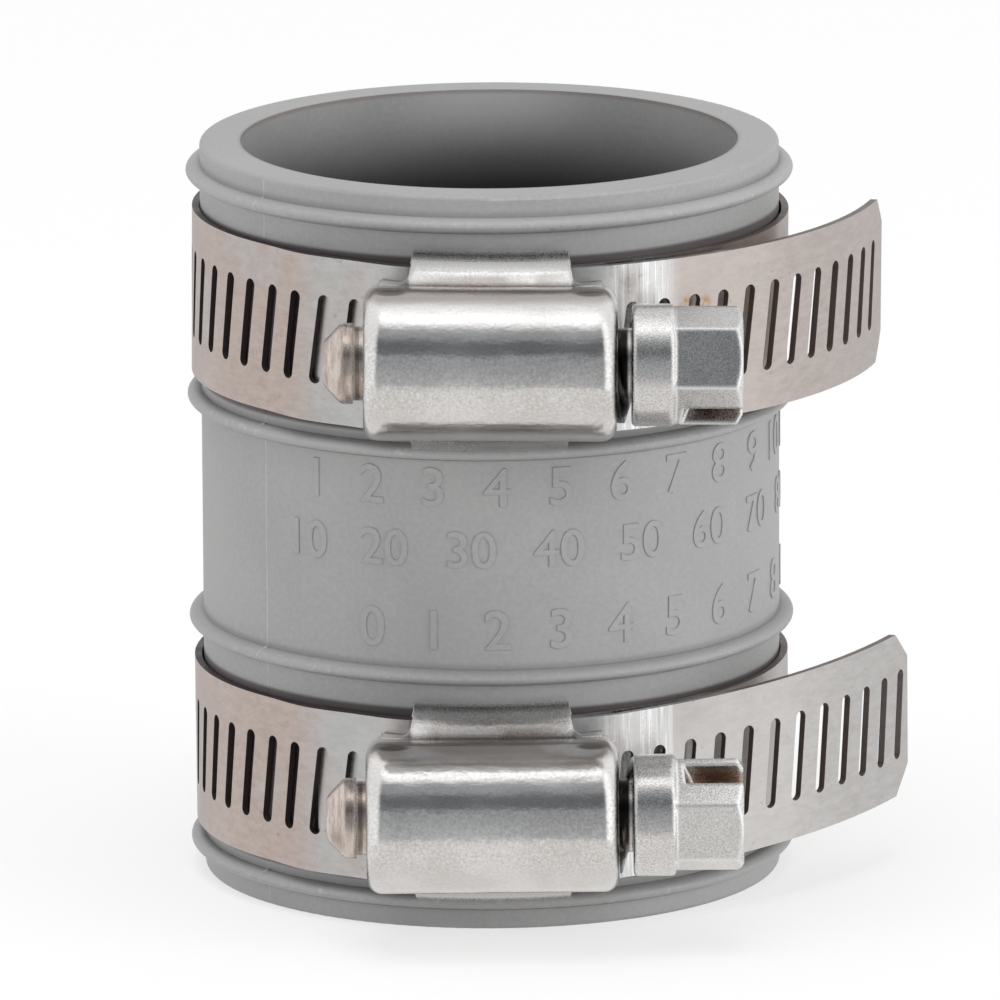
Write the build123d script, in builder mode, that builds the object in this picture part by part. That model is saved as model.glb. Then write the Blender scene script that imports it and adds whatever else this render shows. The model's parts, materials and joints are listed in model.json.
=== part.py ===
"""Drain pipe connector: a flexible sleeve held on two pipe ends by worm-drive band clamps.

+Z runs up the sleeve's axis from the centre of its lower mouth. The screw housings face -Y, and
the free ends of the bands and the screw heads point to +X. Angles round the sleeve are measured
from the front, -Y, towards +X. A clamp is drawn round the origin and then placed on the sleeve.
Lengths are in millimetres.
"""

import os
from math import asin, cos, degrees, radians, sin, tan

from build123d import *

# Sleeve
pipe_diameter = 42.2
pipe_clearance = 0.2
sleeve_wall = 3.5
sleeve_length = 63.5
mouth_rounding = 0.35
bead_proud = 1.2
bead_height = 1.3
end_bead_inset = 2.45
inner_bead_inset = 22.0
bead_to_clamp = 9.05

# Band
band_width = 14.3
band_thickness = 0.6
band_clearance = 0.15
layer_clearance = 0.05
ramp_length = 6.0
tongue_length = 3.0
tail_corner = 2.4

# Slots across the band, which the screw's thread runs in
slot_pitch = 3.03
slot_length = 7.8
slot_width = 1.15
slot_slant = 8.0
slot_count = 34

# Housing, pressed from one sheet
sheet_thickness = 0.7
barrel_length = 21.3
barrel_end_rounding = 1.3
barrel_draw_angle = 10.0
bend_radius = 0.8
wing_inset = 3.65
wing_taper = 0.6
wing_root_radius = 0.8
wing_return = 3.4
fold_clearance = 0.05

# Screw
thread_diameter = 9.8
root_diameter = 6.2
crest_width = 0.55
thread_flank = 15.0
thread_depth_in_slot = 0.5
thread_end_clearance = 0.3
barrel_clearance = 0.85
shank_clearance = 0.1
tip_gap = 0.85
tip_diameter = 6.8
tip_length = 2.5
tip_rim = 1.0
tip_nose_diameter = 3.6
tip_rounding = 0.8
collar_gap = 1.2
collar_diameter = 10.3
collar_length = 3.6
collar_rounding = 0.4
hex_across_flats = 8.7
hex_length = 5.7
hex_end_land = 0.2
hex_chamfer_angle = 30.0
driver_slot_width = 2.0
driver_slot_depth = 4.0
driver_slot_runout = 1.3

# Lengths closer than this count as equal when edges and corners are picked
tolerance = 1e-3

# The two clamps differ in how they sit, how far each was tightened and how the free end springs out
clamps = {
    "upper": {
        "bead": sleeve_length - inner_bead_inset,
        "lean": 0.6,
        "tail_radius": 38.8,
        "tail_length": 38.4,
        "tail_rise": 0.3,
        "tail_margin": 4.2,
        "hex_turn": 20.0,
        "driver_slot_turn": -57.5,
    },
    "lower": {
        "bead": end_bead_inset,
        "lean": -0.3,
        "tail_radius": 49.2,
        "tail_length": 35.6,
        "tail_rise": 2.5,
        "tail_margin": 1.8,
        "hex_turn": -7.0,
        "driver_slot_turn": 64.4,
    },
}

# Radii round the sleeve, from the bore outwards
bore_radius = pipe_diameter / 2 + pipe_clearance
sleeve_radius = bore_radius + sleeve_wall
layer_step = band_thickness + layer_clearance
loop_radius = sleeve_radius + band_clearance + band_thickness / 2
return_radius = sleeve_radius + band_clearance + sheet_thickness / 2
lifted_radius = return_radius + sheet_thickness / 2 + layer_clearance + band_thickness / 2
outer_radius = lifted_radius + layer_step
band_surface = outer_radius + band_thickness / 2
saddle_inner = band_surface + layer_clearance
saddle_middle = saddle_inner + sheet_thickness / 2
saddle_outer = saddle_inner + sheet_thickness

# Screw and barrel
screw_y = -(band_surface - thread_depth_in_slot + thread_diameter / 2)
barrel_inner = thread_diameter / 2 + barrel_clearance
barrel_outer = barrel_inner + sheet_thickness
barrel_half = barrel_length / 2
exit_angle = degrees(asin(barrel_half / outer_radius))

# Wings
fold_edge = band_width / 2 + fold_clearance
fold_radius = (saddle_middle - return_radius) / 2
wing_half = barrel_half - wing_inset
wing_angle = degrees(asin(wing_half / saddle_inner))
ramp_angle = degrees(ramp_length / loop_radius)
tongue_angle = degrees(tongue_length / loop_radius)


def on_ring(radius, angle):
    """Point at a radius from the sleeve's axis and an angle from the front."""
    return Vector(radius * sin(radians(angle)), -radius * cos(radians(angle)))


def along_ring(angle):
    """Direction of travel round the sleeve at an angle from the front."""
    return Vector(cos(radians(angle)), sin(radians(angle)))


def side_plane(x):
    """Plane square to X, with its own x along Y and its own y up."""
    return Plane(origin=(x, 0, 0), x_dir=(0, 1, 0), z_dir=(1, 0, 0))


def upright_plane(origin, direction):
    """Plane through a point, with its own x along a level direction and its own y up."""
    return Plane(origin=origin, x_dir=direction, z_dir=direction.cross(Vector(0, 0, 1)))


def radial_plane(angle):
    """Half-plane through the sleeve's axis, with its own x outwards and its own y up."""
    return upright_plane((0, 0, 0), on_ring(1, angle))


def make_sleeve():
    """Straight soft tube with four raised beads, which keep the clamps in two grooves."""
    insets = (end_bead_inset, inner_bead_inset)
    bead_heights = [*insets, *(sleeve_length - inset for inset in insets)]
    with BuildPart() as sleeve:
        with BuildSketch(Plane.XZ):
            with Locations((bore_radius + sleeve_wall / 2, sleeve_length / 2)):
                Rectangle(sleeve_wall, sleeve_length)
            with Locations(*((sleeve_radius, height) for height in bead_heights)):
                Ellipse(bead_proud, bead_height / 2)
        revolve(axis=Axis.Z)
        mouth_edges = sleeve.faces().filter_by(Axis.Z).edges()
        fillet(mouth_edges.filter_by(lambda edge: edge.radius > bore_radius), mouth_rounding)
    return sleeve


def loop_path():
    """Centreline of the wound strip, from the tongue once round the sleeve to the barrel's end."""
    lift_end = wing_angle + ramp_angle
    tongue_end = -lift_end - tongue_angle
    overlap_start = 360 + tongue_end - ramp_angle
    overlap_radius = loop_radius + layer_step
    with BuildLine() as path:
        ring_arc(loop_radius, tongue_end, -lift_end)
        ring_step(loop_radius, -lift_end, lifted_radius, -wing_angle)
        ring_arc(lifted_radius, -wing_angle, wing_angle)
        ring_step(lifted_radius, wing_angle, loop_radius, lift_end)
        ring_arc(loop_radius, lift_end, overlap_start)
        ring_step(loop_radius, overlap_start, overlap_radius, 360 + tongue_end)
        ring_arc(overlap_radius, 360 + tongue_end, 360 - lift_end)
        ring_step(overlap_radius, 360 - lift_end, outer_radius, 360 - wing_angle)
        ring_arc(outer_radius, 360 - wing_angle, 360 + exit_angle)
    return path


def ring_arc(radius, start, end):
    """Arc round the sleeve's axis."""
    ThreePointArc(on_ring(radius, start), on_ring(radius, (start + end) / 2), on_ring(radius, end))


def ring_step(start_radius, start, end_radius, end):
    """Smooth step from one radius to another."""
    Spline(
        on_ring(start_radius, start),
        on_ring(end_radius, end),
        tangents=[along_ring(start), along_ring(end)],
    )


def make_band(tail_radius, tail_length, tail_rise, tail_margin):
    """Slotted strip, wound round the sleeve and through the housing under the screw."""
    loop = loop_path()
    exit_point = on_ring(outer_radius, exit_angle)
    exit_direction = along_ring(exit_angle)
    slope = tan(radians(tail_rise))
    with BuildLine() as tail_path:
        JernArc(
            start=exit_point,
            tangent=exit_direction,
            radius=tail_radius,
            arc_size=degrees(tail_length / tail_radius),
        )
    loop_wire = loop.wires()[0]
    tail_wire = tail_path.wires()[0]

    def lift(point):
        """Height that the free end has gained at a point of its centreline."""
        return Vector(0, 0, slope * (point - exit_point).dot(exit_direction))

    slot_planes = []
    for index in range(slot_count):
        distance = tail_margin + index * slot_pitch
        if distance < tail_length:
            place = 1 - distance / tail_length
            along = tail_wire % place
            point = tail_wire @ place
            direction = along + Vector(0, 0, slope * along.dot(exit_direction))
            slot_planes.append(upright_plane(point + lift(point), direction))
        else:
            place = 1 - (distance - tail_length) / loop_wire.length
            slot_planes.append(upright_plane(loop_wire @ place, loop_wire % place))

    tail_end = tail_wire @ 1
    total_rise = slope * tail_length
    with BuildPart() as tail:
        with BuildSketch(Plane.XY.offset(-band_width)):
            trace(tail_path.edges(), line_width=band_thickness)
        extrude(amount=2 * band_width)
        with BuildSketch(upright_plane(exit_point, exit_direction)):
            Polygon(
                (0, -band_width / 2),
                (tail_length, total_rise - band_width / 2),
                (tail_length, total_rise + band_width / 2),
                (0, band_width / 2),
                align=None,
            )
        extrude(amount=tail_length, both=True, mode=Mode.INTERSECT)
        across_sheet = tail.edges().filter_by(lambda edge: abs(edge.length - band_thickness) < tolerance)
        chamfer(across_sheet.sort_by_distance(tail_end + lift(tail_end))[:2], tail_corner)

    with BuildPart() as band:
        with BuildSketch(Plane.XY.offset(-band_width / 2)):
            trace(loop.edges(), line_width=band_thickness)
        extrude(amount=band_width)
        add(tail.part)
        with BuildSketch(*slot_planes):
            SlotOverall(slot_length, slot_width, rotation=90 - slot_slant)
        extrude(amount=band_thickness / 2 + layer_clearance / 2, both=True, mode=Mode.SUBTRACT)
    return band


def barrel_side(radius, y):
    """Half-width of the barrel at a depth below the screw, where its sides draw in to the band."""
    draw = radians(barrel_draw_angle)
    return (radius - (y - screw_y) * sin(draw)) / cos(draw)


def barrel_block(radius, length, rounding, foot_radius):
    """Arch over the screw, with sides that draw in towards the band and rounded ends."""
    draw = radians(barrel_draw_angle)
    side_y = screw_y + radius * sin(draw)
    foot_y = barrel_half - foot_radius
    with BuildPart() as block:
        with BuildSketch(side_plane(-length / 2)):
            with Locations((screw_y, 0)):
                Circle(radius)
            Polygon(
                (side_y, -barrel_side(radius, side_y)),
                (foot_y, -barrel_side(radius, foot_y)),
                (foot_y, barrel_side(radius, foot_y)),
                (side_y, barrel_side(radius, side_y)),
                align=None,
            )
        extrude(amount=length)
        ends = block.faces().filter_by(Axis.X)
        rim = ends.edges().filter_by(lambda edge: edge.center().Y < foot_y - tolerance)
        fillet(rim, rounding)
        with BuildSketch(Plane.XY.offset(-radius)):
            Circle(foot_radius)
        extrude(amount=2 * radius, mode=Mode.SUBTRACT)
    return block


def make_wings():
    """Both wings, each bent up from the barrel's foot, folded round the band and back under it."""
    root = barrel_side(barrel_outer, -saddle_outer)
    foot = root - sheet_thickness
    ear = barrel_half - barrel_end_rounding
    ear_angle = degrees(asin(ear / saddle_inner))
    with BuildPart() as wings:
        with BuildSketch(radial_plane(-ear_angle)):
            with BuildLine():
                Polyline(
                    (saddle_outer, root + bend_radius),
                    (saddle_outer, foot),
                    (saddle_outer + bend_radius, foot),
                    (saddle_outer + bend_radius, root),
                )
                RadiusArc((saddle_outer + bend_radius, root), (saddle_outer, root + bend_radius), bend_radius)
            make_face()
            with BuildLine() as wing:
                Line((saddle_middle, foot), (saddle_middle, fold_edge))
                ThreePointArc(
                    (saddle_middle, fold_edge),
                    (saddle_middle - fold_radius, fold_edge + fold_radius),
                    (return_radius, fold_edge),
                )
                Line((return_radius, fold_edge), (return_radius, fold_edge - wing_return))
            trace(wing.edges(), line_width=sheet_thickness)
            mirror(about=Plane.XZ)
        revolve(axis=Axis.Z, revolution_arc=2 * ear_angle)
        with BuildSketch(upright_plane((0, 0, 0), Vector(1, 0, 0))) as outline:
            top = fold_edge + fold_radius + sheet_thickness
            with BuildLine():
                Polyline(
                    (-ear, 0),
                    (-ear, root),
                    (-wing_half, root),
                    (wing_taper - wing_half, top),
                    (wing_half - wing_taper, top),
                    (wing_half, root),
                    (ear, root),
                    (ear, 0),
                    close=True,
                )
            make_face()
            wing_roots = outline.vertices().filter_by(
                lambda corner: abs(abs(corner.X) - wing_half) < tolerance
            )
            fillet(wing_roots, wing_root_radius)
            mirror(about=Plane.XZ)
        extrude(amount=saddle_outer + 2 * bend_radius, mode=Mode.INTERSECT)
        with BuildSketch(Plane.XY.offset(-fold_edge)):
            Circle(lifted_radius)
            Rectangle(2 * wing_half, 2 * lifted_radius, mode=Mode.SUBTRACT)
        extrude(amount=2 * fold_edge, mode=Mode.SUBTRACT)
    return wings


def make_housing():
    """Pressed housing: barrel over the screw and wings folded round the band."""
    shell = barrel_block(barrel_outer, barrel_length, barrel_end_rounding, saddle_inner)
    hollow = barrel_block(
        barrel_inner,
        barrel_length - 2 * sheet_thickness,
        barrel_end_rounding - sheet_thickness,
        band_surface,
    )
    with BuildPart() as housing:
        add(shell.part)
        add(make_wings().part)
        add(hollow.part, mode=Mode.SUBTRACT)
        with BuildSketch(side_plane(-barrel_length)):
            with Locations((screw_y, 0)):
                Circle(root_diameter / 2 + shank_clearance)
        extrude(amount=barrel_length, mode=Mode.SUBTRACT)
        with BuildSketch(side_plane(0)):
            with Locations((screw_y, 0)):
                Circle(thread_diameter / 2 + shank_clearance)
        extrude(amount=barrel_length, mode=Mode.SUBTRACT)
    return housing


def slot_under_screw(tail_length, tail_margin):
    """Place along X of the slot nearest to the middle of the housing."""
    distance = tail_length + radians(exit_angle) * outer_radius - tail_margin
    return (distance + slot_pitch / 2) % slot_pitch - slot_pitch / 2


def turned(angle):
    """Direction square to X, turned upwards from the front."""
    return Vector(0, -cos(radians(angle)), sin(radians(angle)))


def make_screw(slot_place, hex_turn, driver_slot_turn):
    """Worm screw: conical tip, thread, collar and slotted hexagon head."""
    collar_x = barrel_half + collar_gap
    hex_x = collar_x + collar_length
    head_end = hex_x + hex_length
    tip_x = -barrel_half - tip_gap
    centre = Vector(0, screw_y, 0)
    level = Plane(origin=centre, x_dir=(1, 0, 0), z_dir=(0, 0, 1))

    thread_height = (thread_diameter - root_diameter) / 2
    root_width = crest_width + 2 * thread_height * tan(radians(thread_flank))
    thread_start = -barrel_half + sheet_thickness + root_width / 2 + thread_end_clearance
    thread_length = collar_x + collar_rounding - thread_start
    turn_to_slot = radians(360 * (slot_place - thread_start) / slot_pitch)
    towards_start = Vector(0, cos(turn_to_slot), -sin(turn_to_slot))
    thread_base = Plane(origin=centre + Vector(thread_start, 0, 0), x_dir=towards_start, z_dir=(1, 0, 0))
    helix = thread_base * Helix(slot_pitch, thread_length, root_diameter / 2)

    with BuildPart() as screw:
        with BuildSketch(level) as profile:
            with BuildLine():
                Polyline(
                    (tip_x - tip_length, 0),
                    (hex_x, 0),
                    (hex_x, collar_diameter / 2),
                    (collar_x, collar_diameter / 2),
                    (collar_x, root_diameter / 2),
                    (tip_x, root_diameter / 2),
                    (tip_x, tip_diameter / 2),
                    (tip_x - tip_rim, tip_diameter / 2),
                    (tip_x - tip_length, tip_nose_diameter / 2),
                    close=True,
                )
            make_face()
            columns = profile.vertices().group_by(Axis.X)
            fillet([columns[0].sort_by(Axis.Y)[-1], columns[1][0]], tip_rounding)
            fillet(profile.vertices().group_by(Axis.Y)[-1], collar_rounding)
        revolve(axis=Axis(centre, (1, 0, 0)))
        with BuildSketch(Plane(origin=helix @ 0, x_dir=towards_start, z_dir=helix % 0)):
            Polygon(
                (-thread_height / 4, -root_width / 2),
                (0, -root_width / 2),
                (thread_height, -crest_width / 2),
                (thread_height, crest_width / 2),
                (0, root_width / 2),
                (-thread_height / 4, root_width / 2),
                align=None,
            )
        sweep(path=helix, is_frenet=True)

        with BuildSketch(side_plane(hex_x)):
            with Locations((screw_y, 0)):
                RegularPolygon(hex_across_flats / 2, 6, major_radius=False, rotation=30 - hex_turn)
        extrude(amount=hex_length)
        corner_radius = hex_across_flats / 2 / cos(radians(30))
        chamfer_start = hex_across_flats / 2 - hex_end_land
        chamfer_length = (corner_radius - chamfer_start) * tan(radians(hex_chamfer_angle))
        with BuildSketch(level):
            Polygon(
                (head_end, chamfer_start),
                (head_end, corner_radius),
                (head_end - chamfer_length, corner_radius),
                align=None,
            )
        revolve(axis=Axis(centre, (1, 0, 0)), mode=Mode.SUBTRACT)

        slot_axis = Plane(
            origin=centre, x_dir=(1, 0, 0), z_dir=Vector(1, 0, 0).cross(turned(driver_slot_turn))
        )
        floor = head_end - driver_slot_depth
        with BuildSketch(slot_axis):
            with BuildLine():
                ThreePointArc(
                    (floor - driver_slot_runout, -corner_radius),
                    (floor, 0),
                    (floor - driver_slot_runout, corner_radius),
                )
                Polyline(
                    (floor - driver_slot_runout, corner_radius),
                    (head_end, corner_radius),
                    (head_end, -corner_radius),
                    (floor - driver_slot_runout, -corner_radius),
                )
            make_face()
        extrude(amount=driver_slot_width / 2, both=True, mode=Mode.SUBTRACT)
    return screw


def export_piece(piece, name, place=Location()):
    """Writes a piece, put in its place on the sleeve."""
    piece.part.locate(place)
    piece.part.label = name
    export_step(piece.part, f"parts/{name}.step")


os.makedirs("parts", exist_ok=True)
export_piece(make_sleeve(), "sleeve")
for side, clamp in clamps.items():
    place = Location((0, 0, clamp["bead"] + bead_to_clamp), (0, clamp["lean"], 0))
    tail = (clamp["tail_radius"], clamp["tail_length"], clamp["tail_rise"], clamp["tail_margin"])
    slot_place = slot_under_screw(clamp["tail_length"], clamp["tail_margin"])
    export_piece(make_band(*tail), f"{side}_band", place)
    export_piece(make_housing(), f"{side}_housing", place)
    export_piece(make_screw(slot_place, clamp["hex_turn"], clamp["driver_slot_turn"]), f"{side}_screw", place)
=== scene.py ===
"""Looks of the drain pipe coupling: grey PVC sleeve, two stainless worm-drive clamps, plain studio."""
import json
import math

import bmesh
import bpy
from mathutils import Matrix, Vector
from mathutils.bvhtree import BVHTree


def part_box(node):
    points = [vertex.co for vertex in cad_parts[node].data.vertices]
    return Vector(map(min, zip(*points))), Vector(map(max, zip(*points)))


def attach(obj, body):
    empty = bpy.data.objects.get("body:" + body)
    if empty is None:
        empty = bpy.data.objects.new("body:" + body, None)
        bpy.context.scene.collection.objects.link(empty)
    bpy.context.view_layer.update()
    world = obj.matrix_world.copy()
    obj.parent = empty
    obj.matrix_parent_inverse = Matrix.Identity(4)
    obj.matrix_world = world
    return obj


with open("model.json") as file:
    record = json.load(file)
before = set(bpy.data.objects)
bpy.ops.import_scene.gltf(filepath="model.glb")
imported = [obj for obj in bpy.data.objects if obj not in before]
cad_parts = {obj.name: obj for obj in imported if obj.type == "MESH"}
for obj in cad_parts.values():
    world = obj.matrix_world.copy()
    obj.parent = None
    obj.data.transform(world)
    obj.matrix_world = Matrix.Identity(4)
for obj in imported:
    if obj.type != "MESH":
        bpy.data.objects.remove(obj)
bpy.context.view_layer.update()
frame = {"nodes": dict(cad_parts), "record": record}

scene = bpy.context.scene
mm = 0.001


def grey(value, warmth=0.0):
    """A grey of the given linear value, warmer or cooler."""
    return (value * (1 + warmth), value, value * (1 - warmth), 1)


# Below, a place with two values is where a fade starts and where it ends, and one with three is a
# middle, a half width and how far the edge fades beyond it. A width has only the last two of those

# Camera, fitted to the rims, beads and clamps of the photograph
camera_place = Vector((0, -1.286, 0.3244))
camera_target = Vector((0.00078, 0, 0.03174))
camera_lens = 551.9
camera_sensor = 36
camera_roll = math.radians(-0.3)

# Studio: each lamp has a place, a size and a power. The floor's glow is seen by the camera, and its
# bounce lights the object
white = (1, 1, 1, 1)
ambient_level = 0.62
lamps = {
    "top": ((-0.2, -0.3, 1.8), (1.2, 1.2), 15),
    "left": ((-1.4, -0.9, 0.5), (0.8, 1.0), 5),
    "right": ((1.4, -0.8, 0.5), (0.8, 1.0), 13),
}
floor_size = 6
floor_grey = 0.9
floor_roughness = 0.9
floor_glow = 0.65
floor_bounce = 0.25

# Room that the metal reflects. Levels run from -1 below to 1 above, depths from -1 in front to 1
# behind, and azimuths are radians from the front
table_edge = (-0.43, -0.36)
ceiling_edge = (0.96, 0.88)
window_azimuths = (1.25, 0.25, 0.3)
rear_azimuths = (2.3, 2.8)
front_azimuths = (0.95, 0.6)
front_levels = (-0.35, 0.3)
front_shadow_levels = (0.58, 0.08, 0.16)
strip_levels = (0.93, 0.99)
strip_depths = (0.28, -0.1)
table_grey = grey(0.8, 0.02)
wall_white = grey(0.98)
window_white = grey(1.35)
rear_grey = grey(0.75)
front_low = grey(0.5, -0.01)
front_high = grey(0.38, -0.03)
front_shadow = grey(0.16, -0.05)
strip_white = grey(1.5)

# Sizes read from the frame
sleeve_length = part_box("sleeve")[1][2]
head_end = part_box("upper_screw")[1][0]
bore_radius = frame["record"]["mounts"][0]["dims"]["r_mm"] * mm
joints = frame["record"]["behaviour"]["joints"]
clamp_heights = {"upper": joints[0]["pos_m"][2], "lower": joints[2]["pos_m"][2]}
screw_depth = joints[1]["pos_m"][1]

# Sleeve and strips, and the radius at which patterns that run round them have their true length
wall = 3.5 * mm
wall_radius = bore_radius + wall
outer_bead = 2.45 * mm
inner_bead = 22 * mm
bead_heights = [outer_bead, inner_bead, sleeve_length - inner_bead, sleeve_length - outer_bead]
strip_half_width = 7.15 * mm
wrap_radius = 26 * mm

# Raised numbers of the sleeve, whose rows start and step in degrees from the front
number_rows = [
    {"base": 36.8 * mm, "height": 3.4 * mm, "start": -36.5, "step": 12.6, "numbers": range(1, 12)},
    {"base": 31.5 * mm, "height": 3.2 * mm, "start": -39.0, "step": 17.5, "numbers": range(10, 90, 10)},
    {"base": 24.4 * mm, "height": 3.5 * mm, "start": -24.0, "step": 12.6, "numbers": range(0, 10)},
]
number_proud = 0.11 * mm
number_bevel = 0.05 * mm
digit_share = 0.72
curve_steps = 6

# Parting lines of the sleeve, at degrees from the front. They are painted paler than the sleeve as a
# highlight, and their height swells in two waves of so many radians per mm
parting_angles = {"left": -50.3, "right": 129.7}
parting_width = 0.3 * mm
parting_proud = 0.06 * mm
parting_sunk = 0.05 * mm
parting_step = 0.25 * mm
parting_swell = 0.8
parting_waves = (1.7, 0.37)
parting_highlight_lift = 0.13

# Places of wear and of painted shade and light on the sleeve, as radii, depths from the nearer mouth, and
# places beside beads
outer_skin = (wall_radius - 1 * mm, wall_radius - 0.5 * mm)
plain_wall = (wall_radius + 0.35 * mm, wall_radius + 0.1 * mm)
bead_crest = (wall_radius + 0.7 * mm, wall_radius + 1.15 * mm)
bore_skin = (bore_radius + 0.12 * mm, bore_radius + 0.02 * mm)
bore_lip = (bore_radius + 0.35 * mm, bore_radius + 0.05 * mm)
lip_depths = (0.5 * mm, 0.1 * mm)
dark_depths = (0.5 * mm, 9.5 * mm)
glow_depths = (6 * mm, 0)
glow_rear = (12 * mm, 20 * mm)
glow_sides = (1 * mm, 2 * mm, 9 * mm)
scuff_angles = (0.24, 0.05, 0.08)
scuff_heights = (sleeve_length - 3 * mm, 0.5 * mm, 0.3 * mm)
root_drop = 0.68 * mm
root_width = (0.04 * mm, 0.12 * mm)
shade_rise = 0.75 * mm
shade_width = (0.1 * mm, 0.5 * mm)
groove_shade_width = (strip_half_width + 0.3 * mm, 0.4 * mm)

# Colours of the sleeve, of which the first two are a value and a warmth
pvc_dark = (0.3, -0.004)
pvc_pale = (0.345, 0.004)
worn_pvc = grey(0.5, 0.02)
scuff_black = grey(0.07, 0.04)
# Painted shade under the bands and along their edges
groove_shade_brown = (0.06, 0.045, 0.047, 1)
# Painted shade beside the beads
bead_shade_grey = grey(0.1, 0.03)
# Painted shade and painted light in the bore
bore_shade_black = grey(0.012)
painted_bore_light = grey(0.5)
lip_brown = (0.2, 0.16, 0.14, 1)

# Bands: angles in radians from the front, how silvery each tail is, and rust as places and sizes in mm
silver_angles = (0.0, 0.52, 0.22)
tail_angles = (1.05, 0.4, 0.5)
tail_silver = {"upper": 0.35, "lower": 0.8}
# Painted highlight with scratches, right of the housing
scratch_and_sheen_angles = (0.48, 0.05, 0.11)
shaded_before = (0.25, 0.2)
shaded_after = (0.75, 0.85)
pale_cut_angles = (0.5, 0.7)
slot_width = (strip_half_width - 1.5 * mm, 0.5 * mm)
rust_spots = {
    "upper": [((16.6, -21.6, 53.6), 1.0), ((18.2, -20.5, 53.5), 0.8)],
    "lower": [((-19.0, -17.1, 13.0), 0.5), ((-17.1, -19.0, 12.75), 0.6), ((-18.2, -17.9, 6.75), 0.25)],
}
rust_core = 0.1 * mm

# Colours of the bands
straw_dark = (0.43, 0.355, 0.32, 1)
straw_pale = (0.52, 0.44, 0.405, 1)
silver_dark = (0.46, 0.46, 0.455, 1)
silver_pale = (0.55, 0.55, 0.545, 1)
# Painted highlight right of the housing, with bright and dark streaks
sheen_grey = grey(0.7)
sheen_streak_bright = grey(0.86)
sheen_streak_dark = grey(0.25)
spot_brown = (0.25, 0.16, 0.11, 1)
rust_orange = (0.42, 0.25, 0.12, 1)
# Cut edges, oxide brown darkened as painted shade
cut_edge_dark = (0.05, 0.038, 0.038, 1)
cut_edge_pale = (0.12, 0.092, 0.08, 1)

# Housings: distances above or below the screw's axis, depths towards the front and a length from the middle
wing_levels = (5.9 * mm, 6.5 * mm)
wing_depths = (-28.9 * mm, -28.4 * mm)
fold_levels = (6.3 * mm, 0.15 * mm, 0.6 * mm)
fold_depths = (-26.8 * mm, -27.8 * mm)
grain_levels = (2.0 * mm, 4.0 * mm)
bend_level = 5.7 * mm
end_start = 8.6 * mm
fold_rounding = 0.7 * mm

# Painted shade in dimples where the wings leave the barrel, wider than high
dimple_side = 8.4 * mm
dimple_depth = -32.6 * mm
dimple_rise = 6.35 * mm
dimple_squeeze = 0.45
dimple_radius = 0.4 * mm
dimple_soft = 0.35 * mm

# How far the housings' normals swell towards the wings' folds and the barrel's ends
wing_swell = 0.4
end_swell = 0.1

# Colours of the housings
satin_dark = grey(0.68, 0.02)
satin_pale = grey(0.78, 0.012)
# Painted highlight on the wings
wing_highlight = grey(0.93, 0.008)
grain_dark = grey(0.4, 0.02)
grain_bright = grey(0.98)
# Painted shade in the folds
fold_shade_brown = (0.35, 0.29, 0.26, 1)
# Painted shade in the dimples
dimple_shade_brown = (0.16, 0.135, 0.12, 1)

# Screws: a reach from the axis, and places along it from the middle of the sleeve
slot_reach = (4.05 * mm, 3.9 * mm)
slot_places = (head_end - 2.1 * mm, 2.0 * mm, 0.1 * mm)
tip_start = (-10.6 * mm, -10.8 * mm)
ring_places = (-11.15 * mm, 0.12 * mm, 0.15 * mm)
thread_places = (0.5 * mm, 10.9 * mm, 0.3 * mm)
screw_rounding = 0.5 * mm

# Colours of the screws
plated_dark = grey(0.58, 0.02)
plated_pale = grey(0.86, 0.01)
# Edges painted bright, as wear and as a highlight
worn_edge_highlight = grey(1.0)
slot_brown = (0.44, 0.35, 0.3, 1)
slot_pale = (0.8, 0.7, 0.63, 1)
tip_brown = (0.4, 0.33, 0.29, 1)
tip_pale = (0.7, 0.62, 0.57, 1)
ring_brown = (0.1, 0.08, 0.07, 1)
# Painted shade on the thread
thread_shade_black = (0.015, 0.013, 0.012, 1)
thread_shade_brown = (0.2, 0.17, 0.15, 1)

# Patterns of each material as waves per metre, or where they are stretched as waves along each axis
pvc_patterns = {"clouds": 45, "speckle": 2600, "wear": 900, "scuffs": 1300, "grain": 4200, "ripples": 220}
band_patterns = {"grain": (700, 1500, 700), "streaks": (2600, 90, 90), "smudges": 130, "spots": 1500,
                 "rust": 2200}
housing_patterns = {"grain": 3900, "clouds": 170, "ripples": (160, 300, 300)}
screw_patterns = {"pits": 6500, "clouds": 500, "gouges": (500, 2500, 2500), "scores": (1500, 260, 260)}

# Roughness of each material from its smoothest to its roughest places, and the depth of its relief
pvc_roughness = (0.4, 0.52)
pvc_relief = 0.07 * mm
band_roughness = (0.3, 0.42)
band_relief = 0.008 * mm
housing_roughness = (0.13, 0.21)
housing_relief = 0.15 * mm
screw_roughness = (0.14, 0.28)
screw_relief = 0.024 * mm


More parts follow.
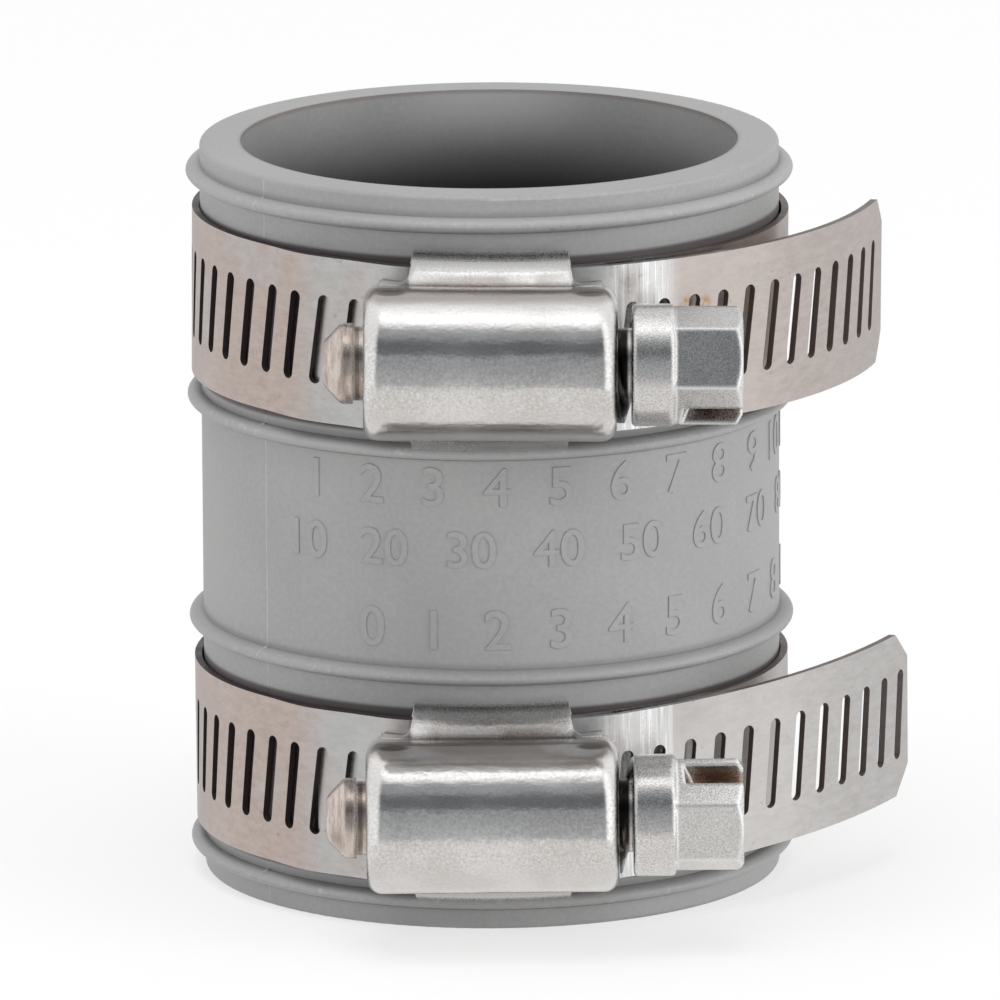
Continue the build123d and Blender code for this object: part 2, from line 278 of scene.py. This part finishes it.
class Nodes:
    """The node tree of one material or world, with one short call for each node."""

    def __init__(self, owner):
        owner.use_nodes = True
        self.tree = owner.node_tree

    def put(self, socket, value):
        if isinstance(value, bpy.types.NodeSocket):
            self.tree.links.new(value, socket)
        else:
            socket.default_value = value

    def add(self, kind, inputs, output=0, **settings):
        node = self.tree.nodes.new("ShaderNode" + kind)
        for name, value in settings.items():
            setattr(node, name, value)
        for name, value in inputs.items():
            self.put(node.inputs[name], value)
        return node.outputs[output]

    def math(self, operation, *values):
        return self.add("Math", dict(enumerate(values)), operation=operation)

    def times(self, *values):
        result = values[0]
        for value in values[1:]:
            result = self.math("MULTIPLY", result, value)
        return result

    def most(self, *values):
        result = values[0]
        for value in values[1:]:
            result = self.math("MAXIMUM", result, value)
        return result

    def distance(self, first, second):
        """Length of the straight line across two legs at right angles."""
        return self.math("SQRT", self.math("ADD", self.times(first, first), self.times(second, second)))

    def beyond(self, value, start):
        """How far value lies beyond start, or 0."""
        return self.math("MAXIMUM", self.math("SUBTRACT", value, start), 0.0)

    def split(self, vector):
        node = self.tree.nodes.new("ShaderNodeSeparateXYZ")
        self.put(node.inputs[0], vector)
        return node.outputs

    def noise(self, vector, scale, detail, roughness=0.5):
        """Noise of so many waves per metre."""
        return self.add("TexNoise", {"Vector": vector, "Scale": scale, "Detail": detail,
                                     "Roughness": roughness})

    def stretched_noise(self, vector, scales, detail, roughness):
        """Noise with its own waves per metre along each axis."""
        return self.noise(self.stretch(vector, scales), 1, detail, roughness)

    def ramp(self, value, low, high, out_low=0.0, out_high=1.0):
        """value mapped from low..high to out_low..out_high, clamped and eased."""
        return self.add("MapRange", {"Value": value, "From Min": low, "From Max": high,
                                     "To Min": out_low, "To Max": out_high},
                        interpolation_type="SMOOTHSTEP")

    def within(self, value, centre, half, soft):
        """1 where value lies within half of centre, falling to 0 over soft."""
        distance = self.math("ABSOLUTE", self.math("SUBTRACT", value, centre))
        return self.ramp(distance, half, half + soft, 1.0, 0.0)

    def within_any(self, value, centres, half, soft):
        """1 where value lies within half of one of the centres, falling to 0 over soft."""
        return self.most(*(self.within(value, centre, half, soft) for centre in centres))

    def near(self, place, point, radius, soft):
        """1 round a point, falling to 0 over soft."""
        distance = self.add("VectorMath", {0: place, 1: point}, output=1, operation="DISTANCE")
        return self.ramp(distance, radius, radius + soft, 1.0, 0.0)

    def blend(self, share, first, second):
        """Two colours mixed by share."""
        node = self.tree.nodes.new("ShaderNodeMix")
        node.data_type = "RGBA"
        self.put(node.inputs[0], share)
        self.put(node.inputs[6], first)
        self.put(node.inputs[7], second)
        return node.outputs[2]

    def stretch(self, vector, scale):
        return self.add("Mapping", {"Vector": vector, "Scale": scale})

    def place(self):
        """Object coordinates, which are the row's frame in metres."""
        return self.add("TexCoord", {}, output=3)

    def azimuth(self, x, y):
        """Angle in radians from the front, positive to the right."""
        return self.math("ARCTAN2", x, self.times(y, -1.0))

    def round_the_sleeve(self):
        """Coordinates round the sleeve, up it and out from it, in metres, and their angle and radius."""
        x, y, z = self.split(self.place())
        angle = self.azimuth(x, y)
        radius = self.distance(x, y)
        along = self.times(angle, wrap_radius)
        return self.add("CombineXYZ", {0: along, 1: z, 2: radius}), angle, radius

    def off_the_face(self):
        """1 on the cut edges of a strip wound round the sleeve, 0 on its two faces."""
        x, y = self.split(self.place())[:2]
        outwards = self.add("CombineXYZ", {0: x, 1: y})
        outwards = self.add("VectorMath", {0: outwards}, operation="NORMALIZE")
        normal = self.add("TexCoord", {}, output=1)
        facing = self.add("VectorMath", {0: normal, 1: outwards}, output=1, operation="DOT_PRODUCT")
        return self.ramp(self.math("ABSOLUTE", facing), 0.35, 0.5, 1.0, 0.0)

    def bump(self, height, distance, strength, normal=None):
        inputs = {"Height": height, "Distance": distance, "Strength": strength}
        if normal:
            inputs["Normal"] = normal
        return self.add("Bump", inputs)

    def rounded(self, radius):
        """Normals rounded over the sharp edges."""
        return self.add("Bevel", {"Radius": radius}, samples=6)

    def at_edges(self, rounded):
        """1 along the sharp edges, where the rounded normals leave the true ones."""
        normal = self.add("NewGeometry", {}, output=1)
        facing = self.add("VectorMath", {0: normal, 1: rounded}, output=1, operation="DOT_PRODUCT")
        return self.ramp(facing, 0.992, 0.95)


def new_material(name):
    material = bpy.data.materials.new(name)
    nodes = Nodes(material)
    return material, nodes, nodes.tree.nodes["Principled BSDF"].inputs


def pvc_material(name, lift):
    """Soft grey PVC, paler by lift, which paints a highlight, with the sleeve's wear, painted shade beside
    the bands and beads, and painted shade and light in the bore.
    """
    material, n, shader = new_material(name)
    place = n.place()
    clouds = n.noise(place, pvc_patterns["clouds"], 4)
    speckle = n.noise(place, pvc_patterns["speckle"], 2)
    tone = n.math("ADD", n.times(clouds, 0.65), n.times(speckle, 0.35))
    dark, pale = [grey(value + lift, warmth) for value, warmth in (pvc_dark, pvc_pale)]
    colour = n.blend(n.ramp(tone, 0.35, 0.65), dark, pale)
    colour = pvc_wear(n, colour)
    colour = pvc_dirt(n, colour)
    colour = pvc_mouth(n, colour)
    n.put(shader["Base Color"], colour)

    n.put(shader["Roughness"], n.ramp(clouds, 0.3, 0.7, *pvc_roughness))
    grain = n.noise(place, pvc_patterns["grain"], 3, 0.6)
    ripples = n.noise(place, pvc_patterns["ripples"], 2)
    height = n.math("ADD", n.times(grain, 0.15), n.times(ripples, 0.85))
    n.put(shader["Normal"], n.bump(height, pvc_relief, 0.5))
    shader["Specular IOR Level"].default_value = 0.45
    return material


def pvc_wear(n, colour):
    """Worn crests of the beads, and a dark scuff on the top one."""
    z = n.split(n.place())[2]
    wrap, angle, radius = n.round_the_sleeve()
    worn = n.ramp(n.noise(wrap, pvc_patterns["wear"], 4, 0.7), 0.6, 0.7)
    colour = n.blend(n.times(worn, n.ramp(radius, *bead_crest), 0.5), colour, worn_pvc)
    scuffed = n.times(n.within(angle, *scuff_angles), n.within(z, *scuff_heights))
    scuffs = n.ramp(n.noise(wrap, pvc_patterns["scuffs"], 4, 0.8), 0.42, 0.36)
    return n.blend(n.times(scuffed, scuffs, 0.7), colour, scuff_black)


def pvc_dirt(n, colour):
    """Painted shade under the bands and along their edges, and painted shade on the wall beside the beads.
    """
    z = n.split(n.place())[2]
    radius = n.round_the_sleeve()[2]
    outside = n.ramp(radius, *outer_skin)
    # Painted shade in a band under each strip and along its edges, where the strip shades the sleeve
    groove_shade = n.within_any(z, clamp_heights.values(), *groove_shade_width)
    colour = n.blend(n.times(groove_shade, outside, 0.9), colour, groove_shade_brown)
    # Painted shade beside each bead: a thin dark line under its root and a broader shade above it
    below_beads = [height - root_drop for height in bead_heights]
    above_beads = [height + shade_rise for height in bead_heights]
    roots = n.within_any(z, below_beads, *root_width)
    shades = n.within_any(z, above_beads, *shade_width)
    bead_shade = n.most(n.times(roots, 0.6), n.times(shades, 0.25))
    return n.blend(n.times(bead_shade, n.ramp(radius, *plain_wall), outside), colour, bead_shade_grey)


def pvc_mouth(n, colour):
    """Bore with painted shade that deepens with depth, painted light on its far side, and its brownish lip.
    """
    x, y, z = n.split(n.place())
    radius = n.round_the_sleeve()[2]
    in_bore = n.ramp(radius, *bore_skin)
    depth = n.math("MINIMUM", z, n.math("SUBTRACT", sleeve_length, z))
    # Painted shade, deepening down the bore
    colour = n.blend(n.times(in_bore, n.ramp(depth, *dark_depths), 0.96), colour, bore_shade_black)
    # Painted light on the bore's far side
    far_side = n.times(n.ramp(y, *glow_rear), n.within(x, *glow_sides))
    glow = n.times(in_bore, n.ramp(depth, *glow_depths), far_side)
    colour = n.blend(n.times(glow, 0.5), colour, painted_bore_light)
    lip = n.times(n.ramp(radius, *bore_lip), n.ramp(depth, *lip_depths))
    return n.blend(n.times(lip, 0.5), colour, lip_brown)


def band_material(side):
    """Rolled stainless strip: straw tint, silver near the housing, brown cut edges with painted shade,
    scratches under a painted highlight, and rust.
    """
    material, n, shader = new_material(side + "_band_steel")
    place = n.place()
    z = n.split(place)[2]
    wrap, angle = n.round_the_sleeve()[:2]
    grain = n.stretched_noise(wrap, band_patterns["grain"], 5, 0.7)
    smudges = n.noise(place, band_patterns["smudges"], 4, 0.6)
    grained = n.ramp(grain, 0.3, 0.7)
    warm = n.blend(grained, straw_dark, straw_pale)
    cool = n.blend(grained, silver_dark, silver_pale)
    silver = n.times(n.within(angle, *silver_angles), n.ramp(smudges, 0.32, 0.5, 0.55, 1.0))
    silver = n.most(silver, n.times(n.within(angle, *tail_angles), tail_silver[side]))
    colour = n.blend(n.most(silver, n.times(n.ramp(smudges, 0.5, 0.65), 0.55)), warm, cool)

    streaks = n.stretched_noise(wrap, band_patterns["streaks"], 4, 0.7)
    # Right of the housing, a painted highlight: the strip is paled and streaked bright and dark, over
    # scratches in its relief
    scratches_and_sheen = n.within(angle, *scratch_and_sheen_angles)
    colour = n.blend(n.times(scratches_and_sheen, 0.8), colour, sheen_grey)
    colour = n.blend(n.times(scratches_and_sheen, n.ramp(streaks, 0.5, 0.62)), colour, sheen_streak_bright)
    colour = n.blend(n.times(scratches_and_sheen, n.ramp(streaks, 0.42, 0.34), 0.5), colour, sheen_streak_dark)

    spots = n.ramp(n.noise(wrap, band_patterns["spots"], 2), 0.68, 0.74)
    colour = n.blend(n.times(spots, 0.25), colour, spot_brown)
    rough_edge = n.ramp(n.noise(wrap, band_patterns["rust"], 4, 0.7), 0.35, 0.6)
    stains = n.most(*(n.near(place, [value * mm for value in spot], rust_core, size * mm)
                      for spot, size in rust_spots[side]))
    colour = n.blend(n.times(stains, rough_edge), colour, rust_orange)

    # Cut edges are oxide brown, darkened as painted shade in the slots and towards both ends of the strip
    slots = n.within(z, clamp_heights[side], *slot_width)
    shaded = n.most(slots, n.ramp(angle, *shaded_before), n.ramp(angle, *shaded_after))
    shaded_cut = n.times(n.off_the_face(), shaded)
    cut_oxide_and_shade = n.blend(n.ramp(angle, *pale_cut_angles), cut_edge_dark, cut_edge_pale)
    n.put(shader["Base Color"], n.blend(shaded_cut, colour, cut_oxide_and_shade))
    n.put(shader["Metallic"], n.math("SUBTRACT", 1.0, n.times(shaded_cut, 0.8)))
    shader["Specular IOR Level"].default_value = 0.2
    rough = n.ramp(n.math("ADD", grain, smudges), 0.8, 1.25, *band_roughness)
    n.put(shader["Roughness"], n.math("MULTIPLY_ADD", scratches_and_sheen, -0.1, rough))
    height = n.math("ADD", grain, n.times(streaks, scratches_and_sheen, 2.0))
    n.put(shader["Normal"], n.bump(height, band_relief, 0.6))
    return material


def housing_dimples(n, place):
    """1 in two patches of painted shade above each barrel, where a wing leaves it."""
    squeezed = n.stretch(place, (dimple_squeeze, 1, 1))
    centres = [(dimple_squeeze * side * dimple_side, dimple_depth, height + dimple_rise)
               for height in clamp_heights.values() for side in (-1, 1)]
    return n.most(*(n.near(squeezed, centre, dimple_radius, dimple_soft) for centre in centres))


def housing_material():
    """Satin pressed stainless: bright, slightly wavy, with soft bends, a painted highlight on the wings, and
    painted shade in the folds and where the wings leave the barrel.
    """
    material, n, shader = new_material("housing_steel")
    place = n.place()
    x, y, z = n.split(place)
    grain = n.noise(place, housing_patterns["grain"], 3, 0.7)
    clouds = n.noise(place, housing_patterns["clouds"], 4)
    levels = [n.math("ABSOLUTE", n.math("SUBTRACT", z, height)) for height in clamp_heights.values()]
    off_axis = n.math("MINIMUM", *levels)
    behind = n.ramp(y, *wing_depths)
    wings = n.times(n.ramp(off_axis, *wing_levels), behind)
    barrel = n.math("SUBTRACT", 1.0, wings)
    grainy = n.ramp(off_axis, *grain_levels, 0.8, 0.3)

    colour = n.blend(n.ramp(clouds, 0.35, 0.65), satin_dark, satin_pale)
    # Painted highlight on the wings
    colour = n.blend(n.times(wings, 0.8), colour, wing_highlight)
    colour = n.blend(n.times(grainy, barrel, n.ramp(grain, 0.5, 0.68, 0.0, 0.5)), colour, grain_dark)
    colour = n.blend(n.times(grainy, barrel, n.ramp(grain, 0.5, 0.34, 0.0, 0.6)), colour, grain_bright)
    # Painted shade, brownish, along the folds
    fold_shade = n.times(n.within(off_axis, *fold_levels), n.ramp(y, *fold_depths))
    colour = n.blend(n.times(fold_shade, n.ramp(clouds, 0.35, 0.5), 0.6), colour, fold_shade_brown)
    # Painted shade in the dimples
    colour = n.blend(n.times(housing_dimples(n, place), 0.9), colour, dimple_shade_brown)
    n.put(shader["Base Color"], colour)
    shader["Metallic"].default_value = 1.0
    rough = n.ramp(n.math("ADD", grain, clouds), 0.8, 1.2, *housing_roughness)
    n.put(shader["Roughness"], n.math("MULTIPLY_ADD", wings, 0.1, rough))

    bent = n.beyond(off_axis, bend_level)
    ends = n.beyond(n.math("ABSOLUTE", x), end_start)
    swell = n.math("ADD", n.times(bent, bent, -wing_swell / mm, behind),
                   n.times(ends, ends, -end_swell / mm, barrel))
    soft = n.bump(swell, 1.0, 1.0, n.rounded(fold_rounding))
    ripples = n.stretched_noise(place, housing_patterns["ripples"], 4, 0.6)
    height = n.math("ADD", n.times(ripples, 0.95), n.times(grain, grainy, barrel, 0.06))
    n.put(shader["Normal"], n.bump(height, housing_relief, 0.6, soft))
    return material


def screw_material():
    """Plated steel: fine pits, edges painted bright as wear and as a highlight, a brown scored tip and a
    thread darkened as painted shade.
    """
    material, n, shader = new_material("screw_steel")
    place = n.place()
    x, y, z = n.split(place)
    pits = n.noise(place, screw_patterns["pits"], 3, 0.75)
    clouds = n.noise(place, screw_patterns["clouds"], 3)
    soft = n.rounded(screw_rounding)
    edges = n.at_edges(soft)
    colour = n.blend(n.ramp(pits, 0.38, 0.62), plated_dark, plated_pale)
    # Edges painted bright, as wear and as a highlight
    colour = n.blend(edges, colour, worn_edge_highlight)

    across = n.math("SUBTRACT", y, screw_depth)
    rises = [n.math("SUBTRACT", z, height) for height in clamp_heights.values()]
    off_axis = n.math("MINIMUM", *(n.distance(across, rise) for rise in rises))
    in_slot = n.times(n.ramp(off_axis, *slot_reach), n.within(x, *slot_places))
    gouges = n.stretched_noise(place, screw_patterns["gouges"], 3, 0.7)
    colour = n.blend(in_slot, colour, n.blend(n.ramp(gouges, 0.4, 0.65), slot_brown, slot_pale))

    tip = n.ramp(x, *tip_start)
    scores = n.stretched_noise(place, screw_patterns["scores"], 4, 0.7)
    colour = n.blend(tip, colour, n.blend(n.ramp(scores, 0.35, 0.65), tip_brown, tip_pale))
    ring = n.times(tip, n.within(x, *ring_places))
    colour = n.blend(n.times(ring, 0.7), colour, ring_brown)
    # Thread darkened as painted shade, with brown streaks
    thread = n.within(x, *thread_places)
    thread_shade = n.blend(n.ramp(scores, 0.5, 0.75), thread_shade_black, thread_shade_brown)
    n.put(shader["Base Color"], n.blend(thread, colour, thread_shade))
    shader["Metallic"].default_value = 1.0
    n.put(shader["Roughness"], n.ramp(n.math("ADD", pits, clouds), 0.8, 1.2, *screw_roughness))
    relief = n.math("ADD", n.times(pits, n.ramp(edges, 0, 1, 1.0, 0.2)), n.times(scores, tip))
    n.put(shader["Normal"], n.bump(relief, screw_relief, 0.6, soft))
    return material


def dress(node_name, material):
    node = frame["nodes"][node_name]
    node.data.materials.clear()
    node.data.materials.append(material)


def add_piece(name, vertices, faces, material, body):
    """A mesh piece of the object, which rides on a body and takes its finish from a slot."""
    mesh = bpy.data.meshes.new(name)
    mesh.from_pydata(vertices, [], faces)
    mesh.materials.append(material)
    piece = bpy.data.objects.new(name, mesh)
    scene.collection.objects.link(piece)
    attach(piece, body)


def on_sleeve(radius, angle, height):
    """Point at a radius, an angle in radians from the front and a height."""
    return Vector((radius * math.sin(angle), -radius * math.cos(angle), height))


def sleeve_tree():
    """Search tree of the sleeve's mesh, for rays."""
    mesh = bmesh.new()
    mesh.from_mesh(frame["nodes"]["sleeve"].data)
    tree = BVHTree.FromBMesh(mesh)
    mesh.free()
    return tree


def parting_line(name, degrees, tree, material):
    """Thin ridge left where the mould halves met, which follows the sleeve's wall and beads."""
    angle = math.radians(degrees)
    inwards = on_sleeve(-1, angle, 0)
    side = on_sleeve(1, angle + math.pi / 2, 0) * parting_width / 2
    vertices = []
    for index in range(1, int(sleeve_length / parting_step)):
        height = index * parting_step
        start = on_sleeve(2 * wall_radius, angle, height)
        hit = tree.ray_cast(start, inwards)[0]
        sunk = hit + inwards * parting_sunk
        short_wave, long_wave = [math.sin(height / mm * wave) for wave in parting_waves]
        swell = 1 + parting_swell * short_wave * long_wave
        vertices += [sunk - side, hit - inwards * parting_proud * swell, sunk + side]
    faces = []
    for row in range(len(vertices) // 3 - 1):
        low = 3 * row
        faces += [(low, low + 1, low + 4, low + 3), (low + 1, low + 2, low + 5, low + 4)]
    add_piece(name, vertices, faces, material, "sleeve")


def number_mesh(text, height):
    """Flat digits of one number, with a bevelled outline, centred on the origin."""
    curve = bpy.data.curves.new("number", "FONT")
    curve.body = text
    curve.align_x = "CENTER"
    curve.size = height / digit_share
    curve.extrude = number_proud - number_bevel
    curve.bevel_depth = number_bevel
    curve.bevel_resolution = 1
    curve.resolution_u = curve_steps
    digits = bpy.data.objects.new("number", curve)
    mesh = bpy.data.meshes.new_from_object(digits)
    bpy.data.objects.remove(digits)
    return mesh


def raised_numbers(material):
    """Rows of plain numbers raised on the middle of the sleeve."""
    vertices = []
    faces = []
    for row in number_rows:
        for index, number in enumerate(row["numbers"]):
            centre = math.radians(row["start"] + index * row["step"])
            mesh = number_mesh(str(number), row["height"])
            first = len(vertices)
            for vertex in mesh.vertices:
                x, y, z = vertex.co
                vertices.append(on_sleeve(wall_radius + z, centre + x / wall_radius, row["base"] + y))
            faces += [[first + corner for corner in polygon.vertices] for polygon in mesh.polygons]
    add_piece("raised_numbers", vertices, faces, material, "sleeve")


def add_camera():
    data = bpy.data.cameras.new("camera")
    data.lens = camera_lens
    data.sensor_width = camera_sensor
    camera = bpy.data.objects.new("camera", data)
    aim = (camera_target - camera_place).to_track_quat("-Z", "Y").to_matrix().to_4x4()
    roll = Matrix.Rotation(camera_roll, 4, "Z")
    camera.matrix_world = Matrix.Translation(camera_place) @ aim @ roll
    scene.collection.objects.link(camera)
    scene.camera = camera


def area_lamp(name, place, size, power):
    """Soft lamp aimed at the object. Reflections don't show it: they show the world's room."""
    data = bpy.data.lights.new(name, "AREA")
    data.shape = "RECTANGLE"
    data.size, data.size_y = size
    data.energy = power
    lamp = bpy.data.objects.new(name, data)
    lamp.location = place
    towards = Vector((0, 0, sleeve_length / 2)) - Vector(place)
    lamp.rotation_euler = towards.to_track_quat("-Z", "Y").to_euler()
    lamp.visible_glossy = False
    scene.collection.objects.link(lamp)


def reflected_room(n):
    """Pale table and walls with a bright side, a grey front where the camera stands, a strip light above."""
    x, y, z = n.split(n.add("TexCoord", {}, output=0))
    azimuth = n.azimuth(x, y)
    turned_away = n.math("ABSOLUTE", azimuth)
    above_table = n.ramp(z, *table_edge)
    walls = n.times(above_table, n.ramp(z, *ceiling_edge))
    colour = n.blend(above_table, table_grey, wall_white)
    window = n.times(walls, n.within(azimuth, *window_azimuths))
    colour = n.blend(window, colour, window_white)
    colour = n.blend(n.times(walls, n.ramp(turned_away, *rear_azimuths)), colour, rear_grey)
    front = n.blend(n.ramp(z, *front_levels), front_low, front_high)
    front = n.blend(n.within(z, *front_shadow_levels), front, front_shadow)
    colour = n.blend(n.times(walls, n.ramp(turned_away, *front_azimuths)), colour, front)
    strip = n.times(n.ramp(z, *strip_levels), n.ramp(y, *strip_depths))
    return n.blend(strip, colour, strip_white)


def add_studio():
    """White behind the object, plain grey light on it, a room for its reflections, and three lamps."""
    world = bpy.data.worlds.new("studio")
    scene.world = world
    n = Nodes(world)
    background = n.tree.nodes["Background"].inputs
    path = n.tree.nodes.new("ShaderNodeLightPath").outputs
    lit = n.blend(path["Is Glossy Ray"], grey(ambient_level), reflected_room(n))
    seen = n.most(path["Is Camera Ray"], path["Is Transmission Ray"])
    n.put(background["Color"], n.blend(seen, lit, white))
    background["Strength"].default_value = 1.0
    for name, (place, size, power) in lamps.items():
        area_lamp(name, place, size, power)


def add_floor():
    """Pale floor, white to the camera apart from the object's soft shadow, and clear to reflections."""
    mesh = bpy.data.meshes.new("floor")
    half = floor_size / 2
    corners = [(-half, -half, 0), (half, -half, 0), (half, half, 0), (-half, half, 0)]
    mesh.from_pydata(corners, [], [(0, 1, 2, 3)])
    floor = bpy.data.objects.new("floor", mesh)
    scene.collection.objects.link(floor)
    material, n, shader = new_material("floor_paper")
    shader["Base Color"].default_value = grey(floor_grey)
    shader["Roughness"].default_value = floor_roughness
    path = n.tree.nodes.new("ShaderNodeLightPath").outputs
    paper = n.tree.nodes["Principled BSDF"].outputs[0]
    glow = n.add("Emission", {"Color": white})
    clear = n.add("BsdfTransparent", {})
    share = n.most(n.times(path["Is Camera Ray"], floor_glow), n.times(path["Is Diffuse Ray"], floor_bounce))
    seen = n.add("MixShader", {0: share, 1: paper, 2: glow})
    output = n.tree.nodes["Material Output"].inputs[0]
    n.put(output, n.add("MixShader", {0: path["Is Glossy Ray"], 1: seen, 2: clear}))
    mesh.materials.append(material)


scene.view_settings.view_transform = "Standard"
add_camera()
add_studio()
add_floor()

pvc = pvc_material("pvc", 0)
# Paler PVC for the parting lines, a painted highlight
parting_highlight_pvc = pvc_material("pvc_edge", parting_highlight_lift)
housing_steel = housing_material()
screw_steel = screw_material()
dress("sleeve", pvc)
for side in clamp_heights:
    dress(side + "_band", band_material(side))
    dress(side + "_housing", housing_steel)
    dress(side + "_screw", screw_steel)

raised_numbers(pvc)
tree = sleeve_tree()
for name, degrees in parting_angles.items():
    parting_line(name + "_parting_line", degrees, tree, parting_highlight_pvc)
